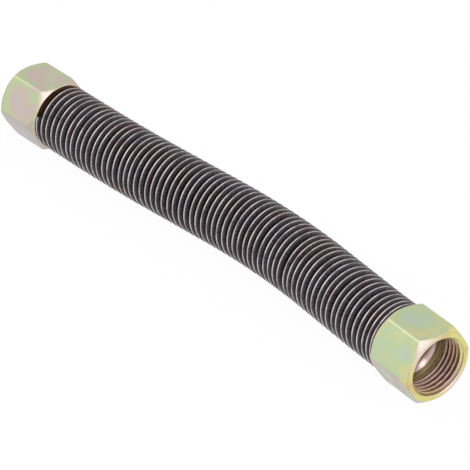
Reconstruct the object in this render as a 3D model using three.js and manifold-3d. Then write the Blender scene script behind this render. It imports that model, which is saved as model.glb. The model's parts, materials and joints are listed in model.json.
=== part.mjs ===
// A finned discharge tube for an air compressor: a gently bent steel tube with flared ends,
// one steel strip wound on edge round it as cooling fins, and a six-sided swivel nut at each end.
// It lies on a flat of each nut. +X runs from the far end to the near end, +Z is up, in millimetres.

import * as THREE from 'three';
import { mergeVertices } from 'three/addons/utils/BufferGeometryUtils.js';
import Module from 'manifold-3d';

const wasm = await Module();
wasm.setup();

// Tube
const TUBE_DIAMETER = 12.7;
const TUBE_WALL = 1.0;
const TUBE_SIDES = 24;

// Centre line between the back faces of the two nuts, counted from the far one.
// Each bend is an arc of the given length, centred at its place, and turns left when positive.
const RUN_LENGTH = 160.7;
const BENDS = [
  { at: 33, over: 36, turn: 3.4 },
  { at: 100, over: 47, turn: -10.4 },
  { at: 152, over: 14, turn: 2.5 },
];
const DEGREES_PER_STATION = 2;

// Flared tube ends
const FLARE_DIAMETER = 16.8;
const FLARE_ANGLE = 45;

// Fin strip, whose last turns are pressed together against the near nut
const FIN_DIAMETER = 22.0;
const FIN_THICKNESS = 0.45;
const FIN_PITCH = 2.477;
const FIN_LAST_PITCH = 1.6;
const FIN_PRESSED_TURNS = 4;
const FIN_START_ANGLE = 157.5;
const FIN_FAR_GAP = 0.4;
const FIN_NEAR_GAP = 0.2;
const FIN_SEAT_GAP = 0.3;
const FACETS_PER_TURN = 16;

// Nut
const NUT_ACROSS_FLATS = 22.225;
const NUT_LENGTH = 17.3;
const NUT_FACE_DIAMETER = 21.8;
const NUT_CHAMFER_ANGLE = 45;
const NUT_BORE_DIAMETER = 17.5;
const NUT_MOUTH_DIAMETER = 19.5;
const NUT_SEAT_DEPTH = 10.2;
const RELIEF_DIAMETER = 19.2;
const RELIEF_WIDTH = 1.7;
const SWIVEL_GAP = 0.3;
const NUT_SIDES = 48;

// Sizes that follow from the ones above
const tubeRadius = TUBE_DIAMETER / 2;
const boreRadius = tubeRadius - TUBE_WALL;
const flareRadius = FLARE_DIAMETER / 2;
const nutCornerRadius = NUT_ACROSS_FLATS / Math.sqrt(3);
const flareSlope = Math.tan(THREE.MathUtils.degToRad(FLARE_ANGLE));
const flareCosine = Math.cos(THREE.MathUtils.degToRad(FLARE_ANGLE));
const flareSine = Math.sin(THREE.MathUtils.degToRad(FLARE_ANGLE));
const chamferSlope = Math.tan(THREE.MathUtils.degToRad(NUT_CHAMFER_ANGLE));

// Places along a tube end, counted from the back face of its nut towards the mouth
const flareRimRadius = flareRadius - TUBE_WALL * flareCosine;
const flareRimPlace = NUT_LENGTH - NUT_SEAT_DEPTH;
const flareThroatPlace = flareRimPlace - (flareRimRadius - boreRadius) / flareSlope;
const flareEdgePlace = flareRimPlace - TUBE_WALL * flareSine;
const flareNeckPlace = flareEdgePlace - (flareRadius - tubeRadius) / flareSlope;

const steel = (color, roughness) =>
  new THREE.MeshStandardMaterial({ color, roughness, metalness: 0.9 });

function toSolid(geometry) {
  const bare = geometry.clone();
  bare.deleteAttribute('normal');
  bare.deleteAttribute('uv');
  const merged = mergeVertices(bare, 1e-4);
  return new wasm.Manifold(new wasm.Mesh({
    numProp: 3,
    vertProperties: new Float32Array(merged.attributes.position.array),
    triVerts: new Uint32Array(merged.index.array),
  }));
}

function toGeometry(solid) {
  const { vertProperties, triVerts } = solid.getMesh();
  const geometry = new THREE.BufferGeometry();
  geometry.setAttribute('position', new THREE.BufferAttribute(vertProperties, 3));
  geometry.setIndex(new THREE.BufferAttribute(triVerts, 1));
  geometry.computeVertexNormals();
  return geometry;
}

// A closed outline of [place along X, radius] points, turned about the X axis.
// The outline runs towards +X on its outer side.
function turned(outline, sides) {
  const points = outline.map(([place, radius]) => new THREE.Vector2(radius, place));
  points.push(points[0].clone());
  const geometry = new THREE.LatheGeometry(points, sides);
  geometry.rotateZ(-Math.PI / 2);
  return geometry;
}

// The part of a bend that lies before a place on the centre line, from 0 to 1
const shareOfBend = (bend, place) =>
  THREE.MathUtils.clamp((place - bend.at) / bend.over + 0.5, 0, 1);

function headingAt(place) {
  const degrees = BENDS.reduce((sum, bend) => sum + bend.turn * shareOfBend(bend, place), 0);
  return THREE.MathUtils.degToRad(degrees);
}

// Centre line points a fixed step apart, beside which any other point is found
const LINE_STEP = 0.5;
const linePoints = [new THREE.Vector3()];
for (let place = 0; place < RUN_LENGTH; place += LINE_STEP) {
  const heading = headingAt(place + LINE_STEP / 2);
  const step = new THREE.Vector3(Math.cos(heading), Math.sin(heading), 0);
  linePoints.push(linePoints.at(-1).clone().addScaledVector(step, LINE_STEP));
}

// The frame of the centre line at a place: X along it, Y to its left and Z up
function frameAt(place) {
  const index = THREE.MathUtils.clamp(Math.floor(place / LINE_STEP), 0, linePoints.length - 2);
  const beyond = place - index * LINE_STEP;
  const heading = headingAt(index * LINE_STEP + beyond / 2);
  const along = new THREE.Vector3(Math.cos(heading), Math.sin(heading), 0);
  const point = linePoints[index].clone().addScaledVector(along, beyond);
  return new THREE.Matrix4().makeRotationZ(headingAt(place)).setPosition(point);
}

// Bends a straight geometry, built along X, so that X follows the centre line
function bent(geometry) {
  const position = geometry.attributes.position;
  const vertex = new THREE.Vector3();
  for (let index = 0; index < position.count; index += 1) {
    vertex.fromBufferAttribute(position, index);
    const frame = frameAt(vertex.x);
    vertex.setX(0).applyMatrix4(frame);
    position.setXYZ(index, vertex.x, vertex.y, vertex.z);
  }
  geometry.computeVertexNormals();
  return geometry;
}

// Places where the tube needs a ring of corners, to follow its bends
function bendStations() {
  return BENDS.flatMap((bend) => {
    const steps = Math.ceil(Math.abs(bend.turn) / DEGREES_PER_STATION);
    return Array.from({ length: steps + 1 }, (_, step) => bend.at + bend.over * (step / steps - 0.5));
  });
}

function tubeGeometry() {
  const farEnd = (place) => -place;
  const nearEnd = (place) => RUN_LENGTH + place;
  const stations = bendStations();
  const outside = [
    [farEnd(flareEdgePlace), flareRadius],
    [farEnd(flareNeckPlace), tubeRadius],
    ...stations.map((place) => [place, tubeRadius]),
    [nearEnd(flareNeckPlace), tubeRadius],
    [nearEnd(flareEdgePlace), flareRadius],
  ];
  const inside = [
    [nearEnd(flareRimPlace), flareRimRadius],
    [nearEnd(flareThroatPlace), boreRadius],
    ...stations.map((place) => [place, boreRadius]).reverse(),
    [farEnd(flareThroatPlace), boreRadius],
    [farEnd(flareRimPlace), flareRimRadius],
  ];
  return bent(turned([...outside, ...inside], TUBE_SIDES));
}

// The strip is a straight bar, X along it, Y across its height and Z through its thickness,
// that is wound into a right-handed helix on the tube and then bent with it. Its pitch falls
// evenly over the pressed turns.
function finGeometry() {
  const start = FIN_FAR_GAP + FIN_THICKNESS / 2;
  const end = RUN_LENGTH - FIN_NEAR_GAP - FIN_THICKNESS / 2;
  const fall = (FIN_PITCH - FIN_LAST_PITCH) / FIN_PRESSED_TURNS;
  const turns = (end - start + fall * FIN_PRESSED_TURNS ** 2 / 2) / FIN_PITCH;
  const innerRadius = (tubeRadius + FIN_SEAT_GAP) / Math.cos(Math.PI / FACETS_PER_TURN);
  const height = FIN_DIAMETER / 2 - innerRadius;
  const facets = Math.round(turns * FACETS_PER_TURN);
  const bar = new THREE.BoxGeometry(turns, height, FIN_THICKNESS, facets, 1, 1);
  bar.translate(turns / 2, innerRadius + height / 2, 0);
  const position = bar.attributes.position;
  for (let index = 0; index < position.count; index += 1) {
    const turn = position.getX(index);
    const radius = position.getY(index);
    const angle = THREE.MathUtils.degToRad(FIN_START_ANGLE) + turn * 2 * Math.PI;
    const pressed = Math.max(turn - turns + FIN_PRESSED_TURNS, 0);
    const place = start + turn * FIN_PITCH - fall * pressed ** 2 / 2;
    const along = place - position.getZ(index);
    position.setXYZ(index, along, radius * Math.cos(angle), radius * Math.sin(angle));
  }
  return bent(bar);
}

// The nut's hollow, from its back face to its mouth: a hole for the tube, the cone that bears
// on the back of the flare, a relief, the bore at the thread's crests and a lead-in.
function nutHollow() {
  const overrun = 1;
  const holeRadius = tubeRadius + SWIVEL_GAP;
  const neckPlace = flareNeckPlace - SWIVEL_GAP / flareSine + SWIVEL_GAP / flareSlope;
  const threadRadius = NUT_BORE_DIAMETER / 2;
  const reliefRadius = RELIEF_DIAMETER / 2;
  const reliefPlace = neckPlace + (reliefRadius - holeRadius) / flareSlope;
  const reliefEnd = reliefPlace + RELIEF_WIDTH;
  const mouthRadius = NUT_MOUTH_DIAMETER / 2;
  const leadIn = mouthRadius - threadRadius;
  return turned([
    [-overrun, holeRadius],
    [neckPlace, holeRadius],
    [reliefPlace, reliefRadius],
    [reliefEnd, reliefRadius],
    [reliefEnd + reliefRadius - threadRadius, threadRadius],
    [NUT_LENGTH - leadIn, threadRadius],
    [NUT_LENGTH, mouthRadius],
    [NUT_LENGTH + overrun, mouthRadius],
    [NUT_LENGTH + overrun, 0],
    [-overrun, 0],
  ], NUT_SIDES);
}

// A hexagon lying on a flat, cut by a turned body that chamfers its corners at both ends
function nutGeometry() {
  const hexagon = new THREE.Shape(Array.from({ length: 6 }, (_, corner) => new THREE.Vector2(
    nutCornerRadius * Math.cos(corner * Math.PI / 3),
    nutCornerRadius * Math.sin(corner * Math.PI / 3),
  )));
  const prism = new THREE.ExtrudeGeometry(hexagon, { depth: NUT_LENGTH, bevelEnabled: false });
  prism.applyMatrix4(new THREE.Matrix4().makeBasis(
    new THREE.Vector3(0, 1, 0),
    new THREE.Vector3(0, 0, 1),
    new THREE.Vector3(1, 0, 0),
  ));
  const faceRadius = NUT_FACE_DIAMETER / 2;
  const outerRadius = nutCornerRadius + 1;
  const chamfer = (outerRadius - faceRadius) * chamferSlope;
  const chamfered = turned([
    [0, 0],
    [0, faceRadius],
    [chamfer, outerRadius],
    [NUT_LENGTH - chamfer, outerRadius],
    [NUT_LENGTH, faceRadius],
    [NUT_LENGTH, 0],
  ], NUT_SIDES);
  const body = toSolid(prism).intersect(toSolid(chamfered));
  return toGeometry(body.subtract(toSolid(nutHollow())));
}

function named(name, geometry, material) {
  const mesh = new THREE.Mesh(geometry, material);
  mesh.name = name;
  return mesh;
}

const discharge = new THREE.Group();
discharge.add(named('tube', tubeGeometry(), steel(0x6a5f5a, 0.45)));
discharge.add(named('fin_strip', finGeometry(), steel(0x3a3738, 0.4)));

const nearNut = named('near_nut', nutGeometry(), steel(0xbfc89b, 0.35));
nearNut.applyMatrix4(frameAt(RUN_LENGTH));
discharge.add(nearNut);

const farNut = named('far_nut', nutGeometry(), steel(0xb7bc98, 0.35));
farNut.applyMatrix4(frameAt(0).multiply(new THREE.Matrix4().makeRotationZ(Math.PI)));
discharge.add(farNut);

// The line from mouth to mouth is turned onto X, and the origin set below the middle of the whole
const nearMouth = new THREE.Vector3(NUT_LENGTH, 0, 0).applyMatrix4(nearNut.matrix);
const farMouth = new THREE.Vector3(NUT_LENGTH, 0, 0).applyMatrix4(farNut.matrix);
const span = nearMouth.sub(farMouth);
discharge.rotation.z = -Math.atan2(span.y, span.x);
const middle = new THREE.Box3().setFromObject(discharge, true).getCenter(new THREE.Vector3());
discharge.position.set(-middle.x, -middle.y, NUT_ACROSS_FLATS / 2);

export default discharge;
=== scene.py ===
"""Dressed model of a finned air compressor discharge tube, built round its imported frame.

A gently bent steel tube with flared ends carries one fin strip wound on edge, and a six-sided
union nut turns freely on each end. Lengths are in metres, written as millimetres times MM.
"""

import json
import logging
import math
from collections.abc import Callable, Sequence
from dataclasses import dataclass, field
from enum import Enum
from typing import Any

import bmesh
import bpy
from mathutils import Matrix, Vector, noise


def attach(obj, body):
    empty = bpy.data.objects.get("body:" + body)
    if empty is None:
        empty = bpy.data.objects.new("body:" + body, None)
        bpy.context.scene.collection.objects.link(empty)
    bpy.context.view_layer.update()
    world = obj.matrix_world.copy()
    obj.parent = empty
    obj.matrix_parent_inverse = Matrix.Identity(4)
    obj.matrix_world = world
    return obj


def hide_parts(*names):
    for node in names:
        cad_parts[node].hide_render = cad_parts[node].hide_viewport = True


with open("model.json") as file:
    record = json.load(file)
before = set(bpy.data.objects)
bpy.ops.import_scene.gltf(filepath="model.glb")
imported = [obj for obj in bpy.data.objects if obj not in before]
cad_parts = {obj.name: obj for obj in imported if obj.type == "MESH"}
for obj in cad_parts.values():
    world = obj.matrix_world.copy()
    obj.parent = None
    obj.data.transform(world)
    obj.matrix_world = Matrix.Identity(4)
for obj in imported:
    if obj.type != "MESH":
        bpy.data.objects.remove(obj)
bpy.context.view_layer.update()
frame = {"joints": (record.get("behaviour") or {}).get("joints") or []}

MM = 0.001
FULL_TURN = 2 * math.pi
MERGE_DISTANCE = 1e-7
JOIN_DISTANCE = 1e-6
FACE_TOLERANCE = 0.05 * MM
log = logging.getLogger("discharge_tube")


class Slot(Enum):
    """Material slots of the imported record."""

    TUBE = "tube_steel"
    FIN = "fin_steel"
    NUT = "nut_zinc"


class Body(Enum):
    """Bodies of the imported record."""

    TUBE = "finned_tube"
    NEAR_NUT = "near_nut"
    FAR_NUT = "far_nut"


def linear(hex_code: str) -> tuple[float, float, float, float]:
    """Turns an sRGB hex colour into linear RGBA.

    Args:
        hex_code: A colour such as "#c8b070".

    Returns:
        The linear red, green and blue values and an alpha of 1.
    """
    channels = (int(hex_code[i:i + 2], 16) / 255 for i in (1, 3, 5))
    curve = (c / 12.92 if c <= 0.04045 else ((c + 0.055) / 1.055) ** 2.4 for c in channels)
    return (*curve, 1.0)


def add_node(
    tree: bpy.types.NodeTree,
    kind: str,
    inputs: dict[str | int, Any] | None = None,
    stops: Sequence[tuple[float, str]] = (),
    **settings: Any,
) -> bpy.types.Node:
    """Adds a node with its settings, values and incoming links.

    Args:
        tree: The node tree that takes the node.
        kind: The node's type name.
        inputs: Values or output sockets for the node's inputs, by name or index.
        stops: Places and hex colours of a colour ramp's stops.
        **settings: Attributes of the node itself.

    Returns:
        The new node.
    """
    node = tree.nodes.new(kind)
    for name, value in settings.items():
        setattr(node, name, value)
    for key, value in (inputs or {}).items():
        if isinstance(value, bpy.types.NodeSocket):
            tree.links.new(value, node.inputs[key])
        else:
            node.inputs[key].default_value = value
    if stops:
        elements = node.color_ramp.elements
        while len(elements) < len(stops):
            elements.new(0.5)
        for element, (place, hex_code) in zip(elements, stops):
            element.position = place
            element.color = linear(hex_code)
    return node


def per_metre(feature: float) -> float:
    """Gives the noise scale at which a pattern's features have this size in metres."""
    return 1 / feature


def new_material(name: str) -> tuple[bpy.types.Material, bpy.types.NodeTree, bpy.types.Node]:
    """Makes an empty node material.

    Args:
        name: The finish's plain name.

    Returns:
        The material, its node tree and its output node.
    """
    material = bpy.data.materials.new(name)
    material.use_nodes = True
    material.node_tree.nodes.clear()
    return material, material.node_tree, add_node(material.node_tree, "ShaderNodeOutputMaterial")


TEAL_FILM = (
    (0.0, "#c9c289"), (0.16, "#bfc393"), (0.32, "#b4c197"), (0.5, "#b1c2a8"),
    (0.64, "#b8bcab"), (0.8, "#c0afa3"), (1.0, "#b9b0b1"),
)
ROSE_FILM = (
    (0.0, "#c0c38e"), (0.35, "#b3bf90"), (0.55, "#b4bb9b"), (0.68, "#bbb3a2"),
    (0.82, "#c1aea3"), (1.0, "#b9b0b1"),
)


@dataclass(frozen=True)
class YellowZinc:
    """Steel nut stock, zinc plated and dipped in yellow chromate.

    The chromate film's thickness drifts over each flat, so its colour runs from straw through
    green to a pinkish grey, past teal on one nut and past rose on the other. The turned
    chamfers are warmer at some angles and take a painted glint at others, as do the thread's
    crests. The hex edges take a painted highlight, the back face and the bore's shoulder take
    painted shade with a painted highlight on the relief floor, and the thread's roots are
    painted dark as shade.
    """

    name: str
    film: tuple[tuple[float, str], ...]
    cone: str = "#c9c8b4"
    face: str = "#ded786"
    tan: str = "#d9b98c"
    # painted glint colour, laid on the chamfers and thread crests at some angles
    painted_glint: str = "#ead6cc"
    # painted highlight colour along the hex edges and the chamfer's border
    edge: str = "#d8c9c0"
    # Bore colours by depth share: the dark stops paint shade on the back face, hole and shoulder,
    # and the bright stop paints a highlight on the relief floor.
    bore: tuple[tuple[float, str], ...] = (
        (0.0, "#80603e"), (0.30, "#80603e"), (0.405, "#7a6b48"), (0.43, "#f2e4b8"),
        (0.53, "#f2e0b4"), (0.58, "#ffe0d2"), (0.88, "#f0d8ac"), (0.97, "#ddd693"),
    )
    # painted shade in the thread's roots
    root: str = "#743a30"
    patch: float = 6 * MM
    mottle: float = 1.3 * MM
    turning: float = 0.35 * MM
    grain: float = 0.35 * MM
    length: float = 17.3 * MM
    seed: float = 0.0

    def material(self) -> bpy.types.Material:
        """Builds the node material."""
        material, tree, output = new_material(self.name)
        coordinates = add_node(tree, "ShaderNodeTexCoord").outputs["Object"]
        value = {
            name: add_node(tree, "ShaderNodeAttribute", attribute_name=name).outputs["Fac"]
            for name in ("film", "chamfer", "edge", "face", "painted_glint", "bore", "root", "depth")
        }
        moved = add_node(tree, "ShaderNodeMapping", {
            "Vector": coordinates, "Location": (self.seed, 2 * self.seed, 0),
        }).outputs["Vector"]
        drift = add_node(tree, "ShaderNodeTexNoise", {
            "Vector": moved, "Scale": per_metre(self.patch), "Detail": 1.0, "Roughness": 0.4,
        }).outputs["Fac"]
        mottle = add_node(tree, "ShaderNodeTexNoise", {
            "Vector": moved, "Scale": per_metre(self.mottle), "Detail": 2.0,
        }).outputs["Fac"]
        drifted = add_node(tree, "ShaderNodeMath", {
            0: drift, 1: 1.1, 2: value["film"],
        }, operation="MULTIPLY_ADD").outputs[0]
        mottled = add_node(tree, "ShaderNodeMath", {
            0: mottle, 1: 0.34, 2: drifted,
        }, operation="MULTIPLY_ADD").outputs[0]
        thickness = add_node(tree, "ShaderNodeMath", {0: mottled, 1: 0.72}, operation="SUBTRACT")
        tints = add_node(tree, "ShaderNodeValToRGB", {
            "Fac": thickness.outputs[0],
        }, stops=self.film).outputs["Color"]
        warm = add_node(tree, "ShaderNodeValToRGB", {"Fac": drift}, stops=(
            (0.5, self.face), (0.75, self.tan),
        )).outputs["Color"]
        ends = add_node(tree, "ShaderNodeMix", {
            0: value["face"], 6: linear(self.cone), 7: warm,
        }, data_type="RGBA").outputs[2]
        # Painted glint on the chamfers at the glint angles.
        toned = add_node(tree, "ShaderNodeMix", {
            0: value["painted_glint"], 6: ends, 7: linear(self.painted_glint),
        }, data_type="RGBA").outputs[2]
        rings = add_node(tree, "ShaderNodeTexNoise", {
            "W": value["depth"], "Scale": per_metre(self.turning), "Detail": 1.0,
        }, noise_dimensions="1D").outputs["Fac"]
        shade = add_node(tree, "ShaderNodeMapRange", {
            "Value": rings, "From Min": 0.3, "From Max": 0.7, "To Min": 0.84, "To Max": 1.1,
        }).outputs["Result"]
        cone = add_node(tree, "ShaderNodeHueSaturation", {
            "Value": shade, "Color": toned,
        }).outputs["Color"]
        turned = add_node(tree, "ShaderNodeMix", {
            0: value["chamfer"], 6: tints, 7: cone,
        }, data_type="RGBA").outputs[2]
        # Painted highlight along the hex edges and the chamfer's border.
        wear_and_light = add_node(tree, "ShaderNodeMix", {
            0: value["edge"], 6: turned, 7: linear(self.edge),
        }, data_type="RGBA").outputs[2]
        share = add_node(tree, "ShaderNodeMath", {
            0: value["depth"], 1: self.length,
        }, operation="DIVIDE").outputs[0]
        # By depth: painted shade on the back face and shoulder, painted highlight on the relief
        # floor.
        crest = add_node(tree, "ShaderNodeValToRGB", {
            "Fac": share,
        }, stops=self.bore).outputs["Color"]
        # Painted glint on the thread's crests at the same angles.
        lit = add_node(tree, "ShaderNodeMix", {
            0: value["painted_glint"], 6: crest, 7: linear(self.painted_glint),
        }, data_type="RGBA").outputs[2]
        # Painted shade: the thread's roots go dark.
        thread = add_node(tree, "ShaderNodeMix", {
            0: value["root"], 6: lit, 7: linear(self.root),
        }, data_type="RGBA").outputs[2]
        colour = add_node(tree, "ShaderNodeMix", {
            0: value["bore"], 6: wear_and_light, 7: thread,
        }, data_type="RGBA").outputs[2]
        fine = add_node(tree, "ShaderNodeTexNoise", {
            "Vector": coordinates, "Scale": per_metre(self.grain), "Detail": 4.0,
        }).outputs["Fac"]
        roughness = add_node(tree, "ShaderNodeMapRange", {
            "Value": drift, "From Min": 0.3, "From Max": 0.7, "To Min": 0.40, "To Max": 0.52,
        }).outputs["Result"]
        relief = add_node(tree, "ShaderNodeBump", {
            "Strength": 0.12, "Distance": 0.02 * MM, "Height": fine,
        }).outputs["Normal"]
        shader = add_node(tree, "ShaderNodeBsdfPrincipled", {
            "Base Color": colour, "Metallic": 0.8, "Roughness": roughness, "Normal": relief,
            "Coat Weight": 0.25, "Coat Roughness": 0.3,
        })
        tree.links.new(shader.outputs["BSDF"], output.inputs["Surface"])
        return material


@dataclass(frozen=True)
class OxideStrip:
    """Mild steel strip, darkened by heat, with its outer edge rubbed back to bright steel.

    Its sides are a soft grey that runs into brown, slate and olive patches, painted black towards
    the tube as shade between the turns. Fine creases run from the tube to the edge, where the
    strip was drawn out as it was wound. The edge is painted duller on the far upper side, as
    shade, and brightest on the side towards the lamps.
    """

    name: str = "heat_darkened_strip"
    sides: tuple[tuple[float, str], ...] = (
        (0.30, "#6d5e5f"), (0.40, "#736c70"), (0.47, "#69676e"), (0.54, "#716869"),
        (0.62, "#6e5656"), (0.70, "#6a6866"),
    )
    # painted shade: the near-black that the sides take towards the tube, between the turns
    recess_shade: str = "#141010"
    bright: str = "#d2cbce"
    dull: str = "#968f92"
    # painted shade: the duller edge colour on the side turned away from the lamps
    shaded_edge: str = "#625a5c"
    patch: float = 9 * MM
    crease: float = 0.7 * MM
    worn: float = 6 * MM

    def material(self) -> bpy.types.Material:
        """Builds the node material."""
        material, tree, output = new_material(self.name)
        coordinates = add_node(tree, "ShaderNodeTexCoord").outputs["Object"]
        rise = add_node(tree, "ShaderNodeAttribute", attribute_name="rise").outputs["Fac"]
        along = add_node(tree, "ShaderNodeAttribute", attribute_name="along").outputs["Fac"]
        patches = add_node(tree, "ShaderNodeTexNoise", {
            "Vector": coordinates, "Scale": per_metre(self.patch), "Detail": 3.0,
        }).outputs["Fac"]
        oxide = add_node(tree, "ShaderNodeValToRGB", {
            "Fac": patches,
        }, stops=self.sides).outputs["Color"]
        creases = add_node(tree, "ShaderNodeTexNoise", {
            "W": along, "Scale": per_metre(self.crease), "Detail": 2.0,
        }, noise_dimensions="1D").outputs["Fac"]
        shade = add_node(tree, "ShaderNodeMapRange", {
            "Value": creases, "From Min": 0.3, "From Max": 0.7, "To Min": 0.6, "To Max": 1.35,
        }).outputs["Result"]
        creased = add_node(tree, "ShaderNodeHueSaturation", {
            "Value": shade, "Color": oxide,
        }).outputs["Color"]
        # Painted shade: the side darkens to near black towards the tube, deep between the turns.
        height = add_node(tree, "ShaderNodeMapRange", {
            "Value": rise, "From Min": 0.42, "From Max": 0.88,
        }).outputs["Result"]
        side = add_node(tree, "ShaderNodeMix", {
            0: height, 6: linear(self.recess_shade), 7: creased,
        }, data_type="RGBA").outputs[2]
        wear = add_node(tree, "ShaderNodeTexNoise", {
            "W": along, "Scale": per_metre(self.worn), "Detail": 2.0,
        }, noise_dimensions="1D").outputs["Fac"]
        wear_and_light = add_node(tree, "ShaderNodeValToRGB", {"Fac": wear}, stops=(
            (0.3, self.dull), (0.6, self.bright),
        )).outputs["Color"]
        # This attribute paints light and shade on the edge: shaded colour on the far upper side,
        # worn bright steel towards the lamps.
        share = add_node(tree, "ShaderNodeAttribute", attribute_name="wear_and_light").outputs["Fac"]
        edge = add_node(tree, "ShaderNodeMix", {
            0: share, 6: linear(self.shaded_edge), 7: wear_and_light,
        }, data_type="RGBA").outputs[2]
        tip = add_node(tree, "ShaderNodeMapRange", {
            "Value": rise, "From Min": 0.94, "From Max": 0.985,
        }).outputs["Result"]
        colour = add_node(tree, "ShaderNodeMix", {
            0: tip, 6: side, 7: edge,
        }, data_type="RGBA").outputs[2]
        metal = add_node(tree, "ShaderNodeMapRange", {
            "Value": tip, "To Min": 0.3, "To Max": 0.45,
        }).outputs["Result"]
        shader = add_node(tree, "ShaderNodeBsdfPrincipled", {
            "Base Color": colour, "Metallic": metal, "Roughness": 0.42,
        })
        tree.links.new(shader.outputs["BSDF"], output.inputs["Surface"])
        return material


@dataclass(frozen=True)
class DrawnTube:
    """Drawn steel tube, dull brown outside and smooth bright metal where it was flared."""

    name: str = "drawn_steel_tube"
    dull: str = "#4a4340"
    bright: str = "#d0b8b2"
    cloud: float = 3 * MM

    def material(self) -> bpy.types.Material:
        """Builds the node material."""
        material, tree, output = new_material(self.name)
        coordinates = add_node(tree, "ShaderNodeTexCoord").outputs["Object"]
        flare = add_node(tree, "ShaderNodeAttribute", attribute_name="flare").outputs["Fac"]
        colour = add_node(tree, "ShaderNodeMix", {
            0: flare, 6: linear(self.dull), 7: linear(self.bright),
        }, data_type="RGBA")
        clouds = add_node(tree, "ShaderNodeTexNoise", {
            "Vector": coordinates, "Scale": per_metre(self.cloud), "Detail": 3.0,
        })
        roughness = add_node(tree, "ShaderNodeMapRange", {
            "Value": clouds.outputs["Fac"], "To Min": 0.18, "To Max": 0.42,
        })
        shader = add_node(tree, "ShaderNodeBsdfPrincipled", {
            "Base Color": colour.outputs[2], "Metallic": 0.9,
            "Roughness": roughness.outputs["Result"],
        })
        tree.links.new(shader.outputs["BSDF"], output.inputs["Surface"])
        return material


@dataclass(frozen=True)
class Bend:
    """One arc of the tube's centre line, turning left when its angle is positive."""

    at: float
    over: float
    degrees: float


@dataclass
class CentreLine:
    """The tube's centre line between the back faces of its nuts, counted from the far one."""

    start: Vector
    heading: float
    length: float = 160.7 * MM
    bends: tuple[Bend, ...] = (
        Bend(33 * MM, 36 * MM, 3.4),
        Bend(100 * MM, 47 * MM, -10.4),
        Bend(152 * MM, 14 * MM, 2.5),
    )
    step: float = 0.5 * MM
    points: list[Vector] = field(default_factory=list)

    def __post_init__(self) -> None:
        """Walks the line once, so that later lookups start from a nearby point."""
        self.points.append(self.start.copy())
        for index in range(math.ceil(self.length / self.step)):
            middle = self.heading_at((index + 0.5) * self.step)
            along = Vector((math.cos(middle), math.sin(middle), 0))
            self.points.append(self.points[-1] + along * self.step)

    def heading_at(self, place: float) -> float:
        """Gives the line's heading in radians at a place along it."""
        turned = sum(
            bend.degrees * min(max((place - bend.at) / bend.over + 0.5, 0.0), 1.0)
            for bend in self.bends
        )
        return self.heading + math.radians(turned)

    def frame_at(self, place: float) -> Matrix:
        """Gives the frame at a place: X along the line, Y to its left and Z up."""
        index = min(max(math.floor(place / self.step), 0), len(self.points) - 2)
        beyond = place - index * self.step
        middle = self.heading_at(index * self.step + beyond / 2)
        along = Vector((math.cos(middle), math.sin(middle), 0))
        point = self.points[index] + along * beyond
        return Matrix.Translation(point) @ Matrix.Rotation(self.heading_at(place), 4, "Z")

    def bend_mesh(self, bm: bmesh.types.BMesh) -> None:
        """Bends a mesh that was built straight along X, so that X follows the line."""
        for vert in bm.verts:
            place = vert.co.x
            vert.co = self.frame_at(place) @ Vector((0, vert.co.y, vert.co.z))


def spun(outline: Sequence[tuple[float, float]], steps: int) -> bmesh.types.BMesh:
    """Spins a closed outline about the X axis into a closed body.

    Args:
        outline: Places along X and radii, in order round the section.
        steps: Faces round the axis.

    Returns:
        The mesh, with its faces pointing outwards.
    """
    bm = bmesh.new()
    corners = [bm.verts.new((place, 0, radius)) for place, radius in outline]
    edges = [bm.edges.new(pair) for pair in zip(corners, corners[1:] + corners[:1])]
    bmesh.ops.spin(
        bm, geom=corners + edges, cent=(0, 0, 0), axis=(1, 0, 0), angle=FULL_TURN,
        steps=steps, use_merge=True,
    )
    bmesh.ops.remove_doubles(bm, verts=bm.verts, dist=MERGE_DISTANCE)
    bmesh.ops.recalc_face_normals(bm, faces=bm.faces)
    return bm


def evenly(first: float, last: float, spacing: float) -> list[float]:
    """Gives places from first to last, both included, about the given spacing apart."""
    count = max(1, round(abs(last - first) / spacing))
    return [first + (last - first) * i / count for i in range(count + 1)]


def finished(
    name: str,
    bm: bmesh.types.BMesh,
    material: bpy.types.Material,
    body: Body,
    crease_degrees: float,
) -> bpy.types.Object:
    """Makes the object of a finished piece and hangs it on its body.

    Args:
        name: The piece's name, which is also the name of the node that it replaces plus "_dress".
        bm: The mesh, in place, which is freed.
        material: The piece's finish.
        body: The body that it rides on.
        crease_degrees: Edges sharper than this keep a hard shade.

    Returns:
        The new object.
    """
    mesh = bpy.data.meshes.new(name)
    bm.to_mesh(mesh)
    bm.free()
    for polygon in mesh.polygons:
        polygon.use_smooth = True
    mesh.set_sharp_from_angle(angle=math.radians(crease_degrees))
    mesh.materials.append(material)
    piece = bpy.data.objects.new(name, mesh)
    bpy.context.scene.collection.objects.link(piece)
    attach(piece, body.value)
    log.info("%s: %d faces", name, len(mesh.polygons))
    return piece


def paint(
    bm: bmesh.types.BMesh,
    name: str,
    value_of: Callable[[bmesh.types.BMVert], float],
) -> None:
    """Stores a value for each vertex, which a material reads as an attribute.

    Args:
        bm: The mesh.
        name: The attribute's name.
        value_of: Gives a vertex's value.
    """
    layer = bm.verts.layers.float.new(name)
    for vert in bm.verts:
        vert[layer] = value_of(vert)


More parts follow.
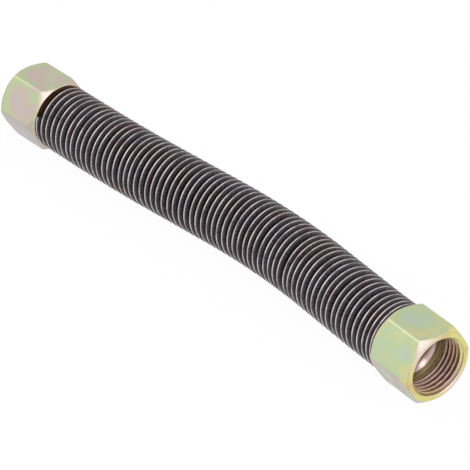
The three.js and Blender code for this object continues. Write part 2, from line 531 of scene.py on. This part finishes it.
@dataclass
class TubeRun:
    """The bent tube and its two flared ends."""

    line: CentreLine
    nut_length: float
    seat_depth: float
    diameter: float = 12.7 * MM
    wall: float = 1.0 * MM
    flare_diameter: float = 16.8 * MM
    flare_degrees: float = 45.0
    lip: float = 0.25 * MM
    sides: int = 96
    station: float = 2 * MM

    def outline(self) -> list[tuple[float, float]]:
        """Gives the section of the wall from end to end, as if the tube were straight."""
        slope = math.tan(math.radians(self.flare_degrees))
        across = self.wall * math.cos(math.radians(self.flare_degrees))
        radius = self.diameter / 2
        bore = radius - self.wall
        flare = self.flare_diameter / 2
        rim = flare - across
        rim_place = self.nut_length - self.seat_depth
        throat_place = rim_place - (rim - bore) / slope
        edge_place = rim_place - across
        neck_place = edge_place - (flare - radius) / slope
        length = self.line.length
        near_outside = [
            (length + neck_place, radius),
            (length + edge_place - self.lip, flare - self.lip),
            (length + edge_place - 0.4 * self.lip, flare),
            (length + edge_place + self.lip, flare - 0.4 * self.lip),
        ]
        near_inside = [
            (length + rim_place - 0.4 * self.lip, rim + 0.4 * self.lip),
            (length + rim_place, rim),
            (length + rim_place - self.lip, rim - self.lip),
            (length + throat_place, bore),
        ]
        run = evenly(-neck_place, length + neck_place, self.station)[1:-1]
        near = near_outside + near_inside
        far = [(length - place, r) for place, r in reversed(near)]
        inside = [(place, bore) for place in reversed(run)]
        outside = [(place, radius) for place in run]
        return near + inside + far + outside

    def build(self, finish: DrawnTube) -> bpy.types.Object:
        """Builds the tube in place of the frame's plain one."""
        bm = spun(self.outline(), self.sides)
        length = self.line.length
        paint(bm, "flare", lambda vert: float(not 0 < vert.co.x < length))
        self.line.bend_mesh(bm)
        piece = finished("tube_dress", bm, finish.material(), Body.TUBE, 50)
        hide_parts("tube")
        return piece


@dataclass(frozen=True)
class Knock:
    """A short stretch of the strip that was pushed along the tube."""

    turn: float
    shift: float
    over: float = 0.35


@dataclass
class FinStrip:
    """The steel strip wound on edge round the tube, from its cut end at the far nut.

    Its last turns are pressed together against the near nut.
    """

    line: CentreLine
    tube_diameter: float
    diameter: float = 21.9 * MM
    thickness: float = 0.45 * MM
    pitch: float = 2.477 * MM
    last_pitch: float = 1.6 * MM
    pressed_turns: float = 4
    seat_gap: float = 0.15 * MM
    far_gap: float = 0.4 * MM
    near_gap: float = 0.2 * MM
    start_degrees: float = 157.5
    steps_per_turn: int = 72
    edge_round: float = 0.13 * MM
    wander: float = 0.45 * MM
    # Where the edge's painted light is fullest, and its least and greatest share; less than full
    # is painted shade.
    lit_side_degrees: float = 165
    lit_side_range: tuple[float, float] = (0.4, 1.0)
    knocks: tuple[Knock, ...] = (
        Knock(40.93, -0.3 * MM), Knock(46.93, 0.5 * MM), Knock(15.9, 0.2 * MM),
    )

    @property
    def start(self) -> float:
        """Where the middle of the strip's cut end stands."""
        return self.far_gap + self.thickness / 2

    @property
    def fall(self) -> float:
        """How much the pitch falls in each pressed turn."""
        return (self.pitch - self.last_pitch) / self.pressed_turns

    @property
    def turns(self) -> float:
        """How many turns the strip makes."""
        end = self.line.length - self.near_gap - self.thickness / 2
        return (end - self.start + self.fall * self.pressed_turns ** 2 / 2) / self.pitch

    def shift_at(self, turn: float) -> float:
        """Gives how far the strip stands from an even pitch after some turns."""
        pressed = max(turn - self.turns + self.pressed_turns, 0.0)
        ends = min(turn, self.turns - turn) / 3
        drift = noise.noise(Vector((0.9 * turn, 3.7, 0))) * min(max(ends - 0.3, 0.0), 1.0)
        knocked = sum(
            knock.shift * math.exp(-((turn - knock.turn) / knock.over) ** 2)
            for knock in self.knocks
        )
        return self.wander * drift + knocked - self.fall * pressed ** 2 / 2

    def turn_of_strip(self, steps: int, place: float, angle: float) -> bmesh.types.BMesh:
        """Makes an open-ended length of wound strip.

        Args:
            steps: How many facets long it is.
            place: Where its middle starts along X.
            angle: Where it starts round X, in radians.

        Returns:
            The mesh, without caps.
        """
        bm = bmesh.new()
        inner = self.tube_diameter / 2 + self.seat_gap
        half = self.thickness / 2
        outer = self.diameter / 2
        corners = [
            bm.verts.new((place + side, 0, radius))
            for side, radius in ((-half, inner), (-half, outer), (half, outer), (half, inner))
        ]
        face = bm.faces.new(corners)
        bmesh.ops.bevel(
            bm, geom=corners[1:3], affect="VERTICES", offset=self.edge_round, offset_type="OFFSET",
            segments=2, profile=0.5, material=-1,
        )
        bmesh.ops.delete(bm, geom=bm.faces[:], context="FACES_ONLY")
        bmesh.ops.rotate(
            bm, verts=bm.verts, cent=(0, 0, 0),
            matrix=Matrix.Rotation(angle - math.pi / 2, 3, "X"),
        )
        bmesh.ops.spin(
            bm, geom=bm.verts[:] + bm.edges[:], cent=(0, 0, 0), axis=(1, 0, 0),
            dvec=(self.pitch / self.steps_per_turn, 0, 0),
            angle=FULL_TURN * steps / self.steps_per_turn, steps=steps,
        )
        return bm

    def wound(self) -> bmesh.types.BMesh:
        """Winds the strip along X at an even pitch, in whole turns and a last part of one."""
        start = self.start
        turns, rest = divmod(round(self.turns * self.steps_per_turn), self.steps_per_turn)
        angle = math.radians(self.start_degrees)
        bm = self.turn_of_strip(self.steps_per_turn, start, angle)
        turn = bm.verts[:] + bm.edges[:] + bm.faces[:]
        for number in range(1, turns):
            copy = bmesh.ops.duplicate(bm, geom=turn)
            verts = [item for item in copy["geom"] if isinstance(item, bmesh.types.BMVert)]
            bmesh.ops.translate(bm, verts=verts, vec=(number * self.pitch, 0, 0))
        last = self.turn_of_strip(rest, start + turns * self.pitch, angle)
        mesh = bpy.data.meshes.new("last_turn")
        last.to_mesh(mesh)
        last.free()
        bm.from_mesh(mesh)
        bpy.data.meshes.remove(mesh)
        bmesh.ops.remove_doubles(bm, verts=bm.verts, dist=JOIN_DISTANCE)
        bmesh.ops.holes_fill(bm, edges=[edge for edge in bm.edges if edge.is_boundary], sides=0)
        bmesh.ops.recalc_face_normals(bm, faces=bm.faces)
        return bm

    def turn_at(self, vert: bmesh.types.BMVert) -> float:
        """Gives the turns between the cut end and a vertex of the evenly wound strip."""
        part = (math.atan2(vert.co.z, vert.co.y) - math.radians(self.start_degrees)) / FULL_TURN
        return part + round((vert.co.x - self.start) / self.pitch - part)

    def lit_side_at(self, vert: bmesh.types.BMVert) -> float:
        """Gives the edge's painted light, full on the side towards the lamps and falling to a
        floor on the far upper side, where the duller colour paints shade.
        """
        angle = math.atan2(vert.co.z, vert.co.y) - math.radians(self.lit_side_degrees)
        least, most = self.lit_side_range
        return min(max(0.7 + 0.6 * math.cos(angle), least), most)

    def build(self, finish: OxideStrip) -> bpy.types.Object:
        """Builds the strip in place of the frame's coarse one."""
        bm = self.wound()
        inner = self.tube_diameter / 2 + self.seat_gap
        height = self.diameter / 2 - inner
        paint(bm, "rise", lambda vert: (vert.co.yz.length - inner) / height)
        paint(bm, "along", lambda vert: self.turn_at(vert) * math.pi * self.diameter)
        # Paints the edge's light and shade by its side of the tube.
        paint(bm, "wear_and_light", self.lit_side_at)
        for vert in bm.verts:
            vert.co.x += self.shift_at(self.turn_at(vert))
        self.line.bend_mesh(bm)
        piece = finished("fin_strip_dress", bm, finish.material(), Body.TUBE, 40)
        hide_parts("fin_strip")
        return piece


@dataclass
class UnionNut:
    """A six-sided nut, chamfered at both ends, threaded inside and open for the tube behind.

    The film's thickness runs from 0 to 1 along the plating's colours. It differs between the
    flats' ends, their long edges and their middles, and each flat, counted from the top one,
    shifts it. The chamfers take a painted glint at some angles and are warm in colour at
    others. The thread's flanks are counted in turns of the thread, and its roots are marked
    for painted shade.
    """

    film_ends: float
    film_edges: float
    film_middle: float
    flat_shifts: tuple[float, ...]
    # Angles round the axis where the chamfers and crests take a painted glint.
    glint_degrees: tuple[float, ...]
    warm_degrees: tuple[float, ...]
    length: float = 17.3 * MM
    across_flats: float = 22.225 * MM
    face_diameter: float = 21.8 * MM
    chamfer_degrees: float = 45.0
    edge_round: float = 0.6 * MM
    cone_round: float = 0.35 * MM
    edge_glow: float = 0.4 * MM
    crest_diameter: float = 17.5 * MM
    root_diameter: float = 19.05 * MM
    mouth_diameter: float = 19.5 * MM
    thread_pitch: float = 1.5875 * MM
    thread_shift: float = 0.45 * MM
    flank_start: float = 0.43
    flank_width: float = 0.32
    relief_diameter: float = 19.2 * MM
    relief_width: float = 1.7 * MM
    hole_diameter: float = 13.3 * MM
    shoulder_place: float = 4.22 * MM
    hole_break: float = 0.3 * MM
    back_rim: float = 0.3 * MM
    chamfer_blend: float = 0.25 * MM
    sides: int = 288
    fine: float = 0.09 * MM

    @property
    def thread_start(self) -> float:
        """Where the relief ends and the thread starts, from the back face."""
        relief = self.relief_diameter / 2
        cone = relief - self.hole_diameter / 2
        return self.shoulder_place + cone + self.relief_width + relief - self.crest_diameter / 2

    @property
    def thread_end(self) -> float:
        """Where the thread meets the lead-in at the mouth."""
        return self.length - (self.mouth_diameter - self.crest_diameter) / 2

    def cone_radius(self, place: float) -> float:
        """Gives the chamfer cones' radius at a place from the back face."""
        slope = math.tan(math.radians(self.chamfer_degrees))
        return self.face_diameter / 2 + min(place, self.length - place) / slope

    def outline(self) -> list[tuple[float, float]]:
        """Gives the nut's section, with its outside still round."""
        corner = self.across_flats / math.sqrt(3)
        slope = math.tan(math.radians(self.chamfer_degrees))
        depth = (corner + self.edge_round - self.face_diameter / 2) * slope
        chamfer = evenly(0, depth, self.fine)
        middle = evenly(depth, self.length - depth, 2 * MM)[1:-1]
        rows = chamfer + middle + [self.length - place for place in reversed(chamfer)]
        outside = [(place, self.cone_radius(place)) for place in rows]
        hole = self.hole_diameter / 2
        relief = self.relief_diameter / 2
        relief_place = self.shoulder_place + relief - hole
        crest = self.crest_diameter / 2
        lead = evenly(self.length, self.thread_end, self.fine)
        thread = evenly(self.thread_end, self.thread_start, self.fine)[1:]
        inside = [(place, crest + place - self.thread_end) for place in lead]
        inside += [(place, crest) for place in thread]
        inside += [
            (relief_place + self.relief_width, relief),
            (relief_place, relief),
            (self.shoulder_place, hole),
            (self.hole_break, hole),
            (0, hole + self.hole_break),
            (0, self.face_diameter / 2 - self.back_rim),
        ]
        return outside + inside

    def flats(self, angle: float) -> list[float]:
        """Gives the distances to the two nearest flats along a ray from the axis."""
        sixth = math.pi / 3
        offset = (angle - math.pi / 2 + sixth / 2) % sixth - sixth / 2
        apothem = self.across_flats / 2
        other = sixth - abs(offset)
        return [apothem / math.cos(offset), apothem / math.cos(other)]

    def thread_depth(self, place: float, angle: float) -> float:
        """Gives how far the thread is cut at a point, from 0 at a crest to 1 at a root.

        Args:
            place: The distance from the back face.
            angle: The angle round the axis, in radians.

        Returns:
            The share of the thread's depth, faded out at both of its ends.
        """
        phase = ((place - self.thread_shift) / self.thread_pitch - angle / FULL_TURN) % 1
        from_root = abs(phase - 0.5)
        flank = min(max((self.flank_start - from_root) / self.flank_width, 0.0), 1.0)
        run_out = 0.5 * self.thread_pitch
        fade = min(max((place - self.thread_start) / run_out, 0.0), 1.0)
        return flank * fade

    def film_at(self, place: float, angle: float) -> float:
        """Gives the film's thickness at a point of the outside."""
        sixth = math.pi / 3
        side = (angle - math.pi / 2 + sixth / 2) / sixth
        across = 2 * (side % 1) - 1
        along = 2 * place / self.length - 1
        middle = (1 - across ** 2) * (1 - along ** 2)
        film = self.film_ends + (self.film_middle - self.film_ends) * middle
        film += (self.film_edges - film) * across ** 6
        return film + self.flat_shifts[math.floor(side) % 6]

    def nearness(self, angle: float, degrees: Sequence[float]) -> float:
        """Gives 1 at any of some angles round the axis, falling to 0 an eighth of a turn off."""
        eighth = FULL_TURN / 8
        return max(
            closeness(0, math.remainder(angle - math.radians(centre), FULL_TURN), eighth)
            for centre in degrees
        )

    def shape(self, bm: bmesh.types.BMesh) -> None:
        """Presses the flats into the round outside and cuts the thread inside.

        Args:
            bm: The spun mesh, which also gets its attributes.
        """
        names = ("film", "chamfer", "edge", "face", "painted_glint", "bore", "root", "depth")
        layers = {name: bm.verts.layers.float.new(name) for name in names}
        inner_limit = (self.mouth_diameter + self.face_diameter) / 4
        back_limit = (self.face_diameter - self.back_rim) / 2
        cut = (self.root_diameter - self.crest_diameter) / 2
        for vert in bm.verts:
            place = vert.co.x
            radius = vert.co.yz.length
            angle = math.atan2(vert.co.z, vert.co.y)
            pressed = radius
            # Painted glint: 1 at the glint angles round the axis.
            vert[layers["painted_glint"]] = self.nearness(angle, self.glint_degrees)
            vert[layers["depth"]] = place
            at_mouth = place > self.length - FACE_TOLERANCE
            warm = self.nearness(angle, self.warm_degrees)
            vert[layers["face"]] = max(float(at_mouth), warm)
            if radius > (back_limit if place < FACE_TOLERANCE else inner_limit):
                flat, other = self.flats(angle)
                pressed = smooth_min(flat, other, self.edge_round)
                pressed = smooth_min(pressed, radius, self.cone_round)
                chamfer = min(max((flat - radius) / self.chamfer_blend + 0.5, 0.0), 1.0)
                vert[layers["film"]] = self.film_at(place, angle)
                vert[layers["chamfer"]] = chamfer
                # Painted highlight: pale along the hex edges and along the chamfer's border.
                vert[layers["edge"]] = max(
                    0.5 * closeness(flat, other, self.edge_glow) * (1 - chamfer),
                    0.3 * closeness(min(flat, other), radius, self.edge_glow),
                )
            else:
                vert[layers["bore"]] = float(not at_mouth)
                # Inside, the painted glint keeps to the thread.
                vert[layers["painted_glint"]] *= float(place > self.thread_start)
                vert[layers["chamfer"]] = 1.0
                if place > self.thread_start:
                    thread = self.crest_diameter / 2 + cut * self.thread_depth(place, angle)
                    pressed = max(radius, thread)
                    # Mask for the painted shade in the thread's roots.
                    vert[layers["root"]] = math.sqrt((pressed - radius) / cut)
            vert.co.y *= pressed / radius
            vert.co.z *= pressed / radius

    def build(
        self,
        name: str,
        placement: Matrix,
        finish: YellowZinc,
        body: Body,
    ) -> bpy.types.Object:
        """Builds a nut in place of one of the frame's plain ones.

        Args:
            name: The node that it replaces.
            placement: The frame of its back face, X towards its mouth.
            finish: Its plating.
            body: The body that it rides on.

        Returns:
            The nut's object.
        """
        bm = spun(self.outline(), self.sides)
        self.shape(bm)
        bmesh.ops.transform(bm, matrix=placement, verts=bm.verts)
        piece = finished(f"{name}_dress", bm, finish.material(), body, 40)
        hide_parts(name)
        return piece


def smooth_min(a: float, b: float, width: float) -> float:
    """Gives the lesser of two lengths, rounded off where they come within a width."""
    near = max(width - abs(a - b), 0.0) / width
    return min(a, b) - near * near * width / 4


def closeness(a: float, b: float, width: float) -> float:
    """Gives 1 where two lengths are equal, falling to 0 where they differ by a width."""
    return max(0.0, 1 - abs(a - b) / width)


@dataclass
class Studio:
    """White floor, soft lamps and the camera at the photograph's viewing angle."""

    azimuth: float = 49.88
    elevation: float = 34.0
    distance: float = 914 * MM
    aim: Vector = field(default_factory=lambda: Vector((8.08 * MM, -2.71 * MM, 11.1 * MM)))
    lens: float = 230.5
    sensor: float = 36.0
    floor_size: float = 6.0
    world_strength: float = 0.75
    lamp_distance: float = 0.9
    paper: str = "#f4f4f4"
    white_share: float = 0.97

    def direction(self, azimuth: float, elevation: float) -> Vector:
        """Gives the unit vector towards a place seen from the object at these degrees."""
        a, e = math.radians(azimuth), math.radians(elevation)
        return Vector((math.sin(a) * math.cos(e), -math.cos(a) * math.cos(e), math.sin(e)))

    def camera(self) -> None:
        """Places the camera."""
        data = bpy.data.cameras.new("camera")
        data.lens = self.lens
        data.sensor_width = self.sensor
        data.clip_start = 0.01
        camera = bpy.data.objects.new("camera", data)
        bpy.context.scene.collection.objects.link(camera)
        back = self.direction(self.azimuth, self.elevation)
        camera.location = self.aim + back * self.distance
        camera.rotation_euler = (-back).to_track_quat("-Z", "Y").to_euler()
        bpy.context.scene.camera = camera

    def seen_directly(self, tree: bpy.types.NodeTree) -> bpy.types.NodeSocket:
        """Gives 1 to the camera's own rays and to those that metal or glass sends on."""
        path = add_node(tree, "ShaderNodeLightPath")
        bounced = add_node(tree, "ShaderNodeMath", {
            0: path.outputs["Is Glossy Ray"], 1: path.outputs["Is Transmission Ray"],
        }, operation="MAXIMUM")
        return add_node(tree, "ShaderNodeMath", {
            0: path.outputs["Is Camera Ray"], 1: bounced.outputs[0],
        }, operation="MAXIMUM").outputs[0]

    def floor(self) -> None:
        """Lays the floor, which the camera sees as nearly plain white."""
        bm = bmesh.new()
        bmesh.ops.create_grid(bm, x_segments=1, y_segments=1, size=self.floor_size / 2)
        mesh = bpy.data.meshes.new("floor")
        bm.to_mesh(mesh)
        bm.free()
        material, tree, output = new_material("white_paper_floor")
        paper = add_node(tree, "ShaderNodeBsdfDiffuse", {"Color": linear(self.paper)})
        white = add_node(tree, "ShaderNodeEmission", {"Color": (1, 1, 1, 1), "Strength": 1.0})
        share = add_node(tree, "ShaderNodeMath", {
            0: self.seen_directly(tree), 1: self.white_share,
        }, operation="MULTIPLY")
        seen = add_node(tree, "ShaderNodeMixShader", {
            0: share.outputs[0], 1: paper.outputs["BSDF"], 2: white.outputs["Emission"],
        })
        tree.links.new(seen.outputs["Shader"], output.inputs["Surface"])
        mesh.materials.append(material)
        floor = bpy.data.objects.new("floor", mesh)
        bpy.context.scene.collection.objects.link(floor)

    def world(self) -> None:
        """Fills the room with even light, and shows the camera plain white."""
        world = bpy.data.worlds.new("studio")
        world.use_nodes = True
        tree = world.node_tree
        tree.nodes.clear()
        room = add_node(tree, "ShaderNodeBackground", {
            "Color": (1, 1, 1, 1), "Strength": self.world_strength,
        })
        seen = add_node(tree, "ShaderNodeBackground", {"Color": (1, 1, 1, 1), "Strength": 1.0})
        mix = add_node(tree, "ShaderNodeMixShader", {
            0: self.seen_directly(tree), 1: room.outputs[0], 2: seen.outputs[0],
        })
        output = add_node(tree, "ShaderNodeOutputWorld")
        tree.links.new(mix.outputs[0], output.inputs["Surface"])
        bpy.context.scene.world = world

    def lamp(self, name: str, azimuth: float, elevation: float, size: float, watts: float) -> None:
        """Hangs a square soft lamp that faces the object.

        Args:
            name: The lamp's name.
            azimuth: Its bearing from the object, as the camera's.
            elevation: Its height angle in degrees.
            size: Its side in metres.
            watts: Its power.
        """
        data = bpy.data.lights.new(name, "AREA")
        data.size = size
        data.energy = watts
        lamp = bpy.data.objects.new(name, data)
        bpy.context.scene.collection.objects.link(lamp)
        towards = self.direction(azimuth, elevation)
        lamp.location = self.aim + towards * self.lamp_distance
        lamp.rotation_euler = (-towards).to_track_quat("-Z", "Y").to_euler()

    def build(self) -> None:
        """Sets up the whole studio."""
        self.camera()
        self.floor()
        self.world()
        self.lamp("key_lamp", azimuth=-35, elevation=45, size=0.9, watts=2.4)
        self.lamp("front_lamp", azimuth=75, elevation=50, size=0.5, watts=1.4)
        bpy.context.scene.view_settings.view_transform = "Standard"


def joint_named(name: str) -> tuple[Vector, Vector]:
    """Gives a joint's point and axis from the frame, in metres."""
    joint = next(item for item in frame["joints"] if item["name"] == name)
    return Vector(joint["pos_m"]), Vector(joint["axis"]).normalized()


def facing(point: Vector, axis: Vector) -> Matrix:
    """Gives the frame at a point with X along a level axis and Z up."""
    return Matrix.Translation(point) @ Matrix.Rotation(math.atan2(axis.y, axis.x), 4, "Z")


def main() -> None:
    """Builds the studio and every piece in order."""
    logging.basicConfig(level=logging.INFO, format="%(name)s %(message)s")
    Studio().build()
    far_point, far_axis = joint_named("far_nut_swivel")
    near_point, near_axis = joint_named("near_nut_swivel")
    line = CentreLine(far_point, math.atan2(-far_axis.y, -far_axis.x))
    near = UnionNut(
        film_ends=0.08,
        film_edges=0.25,
        film_middle=0.34,
        flat_shifts=(0.05, 0.06, 0.5, 0.3, 0.2, 0.1),
        glint_degrees=(125, 305),
        warm_degrees=(65, 190),
    )
    far = UnionNut(
        film_ends=0.38,
        film_edges=0.55,
        film_middle=0.9,
        flat_shifts=(0.04, 0.05, 0.2, 0.3, 0.4, 0.05),
        glint_degrees=(60,),
        warm_degrees=(240,),
        cone_round=0.8 * MM,
    )
    tube = TubeRun(line, near.length, seat_depth=10.2 * MM)
    tube.build(DrawnTube())
    FinStrip(line, tube.diameter).build(OxideStrip())
    near_finish = YellowZinc("yellow_zinc_near", TEAL_FILM)
    far_finish = YellowZinc(
        "yellow_zinc_far", ROSE_FILM, cone="#c6bba9", edge="#c2b8b1", seed=0.3,
    )
    near.build("near_nut", facing(near_point, near_axis), near_finish, Body.NEAR_NUT)
    far.build("far_nut", facing(far_point, far_axis), far_finish, Body.FAR_NUT)


if __name__ == "__main__":
    main()
